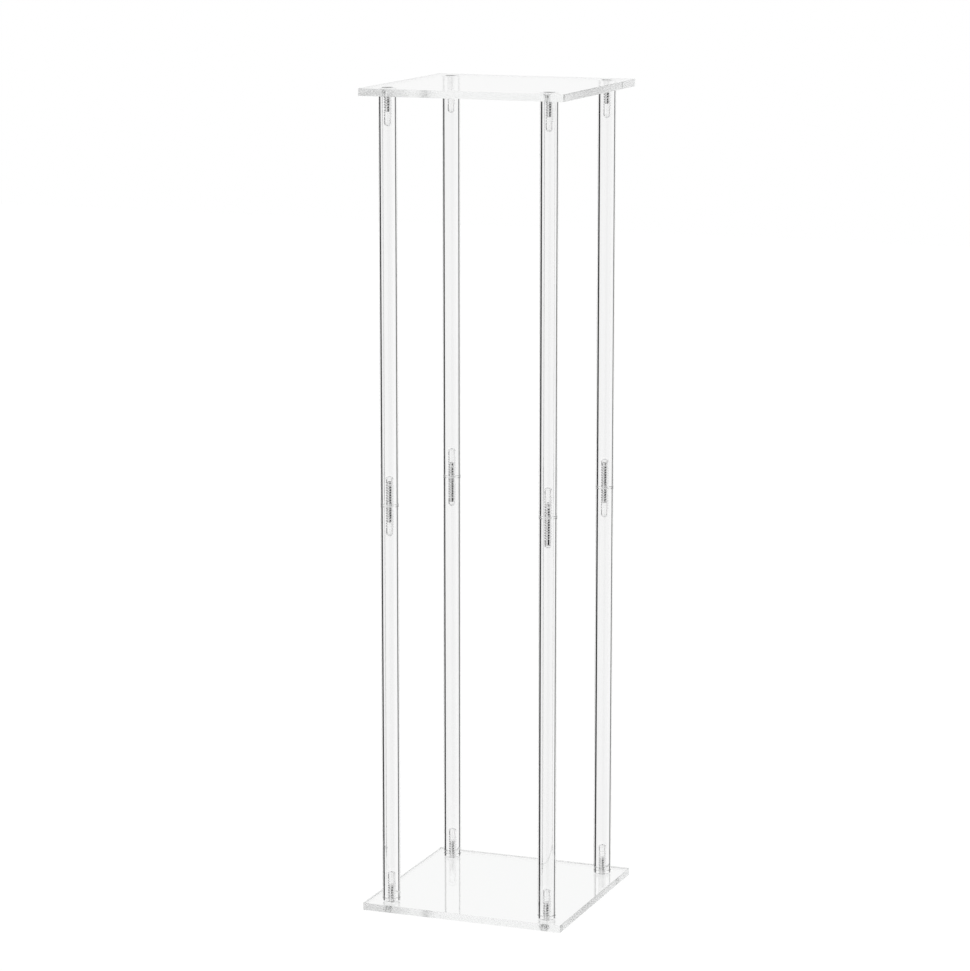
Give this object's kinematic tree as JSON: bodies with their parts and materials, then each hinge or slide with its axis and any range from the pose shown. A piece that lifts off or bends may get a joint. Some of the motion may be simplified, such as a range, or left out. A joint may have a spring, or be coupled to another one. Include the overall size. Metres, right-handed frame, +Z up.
{
  "type": "display column",
  "caption": "Clear acrylic display column: a square base plate and a square top plate joined by round rods in screwed halves.",
  "frame": {"origin": "middle of the underside of the base plate", "axes": "+Z up along the rods, X and Y square to the plates' sides, front towards -Y"},
  "size_m": [0.23, 0.23, 0.9],
  "materials": {
    "clear_acrylic": "clear, polished",
    "zinc_plated_steel": "bright zinc-plated thread"
  },
  "bodies": {
    "root": {"base_plate": "clear_acrylic", "lower_rod_front_left": "clear_acrylic", "lower_rod_front_right": "clear_acrylic", "lower_rod_back_right": "clear_acrylic", "lower_rod_back_left": "clear_acrylic", "joining_stud_front_left": "zinc_plated_steel", "joining_stud_front_right": "zinc_plated_steel", "joining_stud_back_right": "zinc_plated_steel", "joining_stud_back_left": "zinc_plated_steel", "base_screw_front_left": "zinc_plated_steel", "base_screw_front_right": "zinc_plated_steel", "base_screw_back_right": "zinc_plated_steel", "base_screw_back_left": "zinc_plated_steel"},
    "upper_rods": {"upper_rod_front_left": "clear_acrylic", "upper_rod_front_right": "clear_acrylic", "upper_rod_back_right": "clear_acrylic", "upper_rod_back_left": "clear_acrylic"},
    "top_plate": {"top_plate": "clear_acrylic"},
    "top_screw_front_left": {"top_screw_front_left": "zinc_plated_steel"},
    "top_screw_front_right": {"top_screw_front_right": "zinc_plated_steel"},
    "top_screw_back_right": {"top_screw_back_right": "zinc_plated_steel"},
    "top_screw_back_left": {"top_screw_back_left": "zinc_plated_steel"}
  },
  "joints": [
    {"name": "upper_rods_lift", "type": "slide", "parent": "root", "child": "upper_rods", "axis": [0, 0, 1], "range_m": [0, 0.035]},
    {"name": "top_plate_lift", "type": "slide", "parent": "upper_rods", "child": "top_plate", "axis": [0, 0, 1], "range_m": [0, 0.03]},
    {"name": "top_screw_front_left_lift", "type": "slide", "parent": "top_plate", "child": "top_screw_front_left", "axis": [0, 0, 1], "range_m": [0, 0.035]},
    {"name": "top_screw_front_right_lift", "type": "slide", "parent": "top_plate", "child": "top_screw_front_right", "axis": [0, 0, 1], "range_m": [0, 0.035]},
    {"name": "top_screw_back_right_lift", "type": "slide", "parent": "top_plate", "child": "top_screw_back_right", "axis": [0, 0, 1], "range_m": [0, 0.035]},
    {"name": "top_screw_back_left_lift", "type": "slide", "parent": "top_plate", "child": "top_screw_back_left", "axis": [0, 0, 1], "range_m": [0, 0.035]}
  ]
}
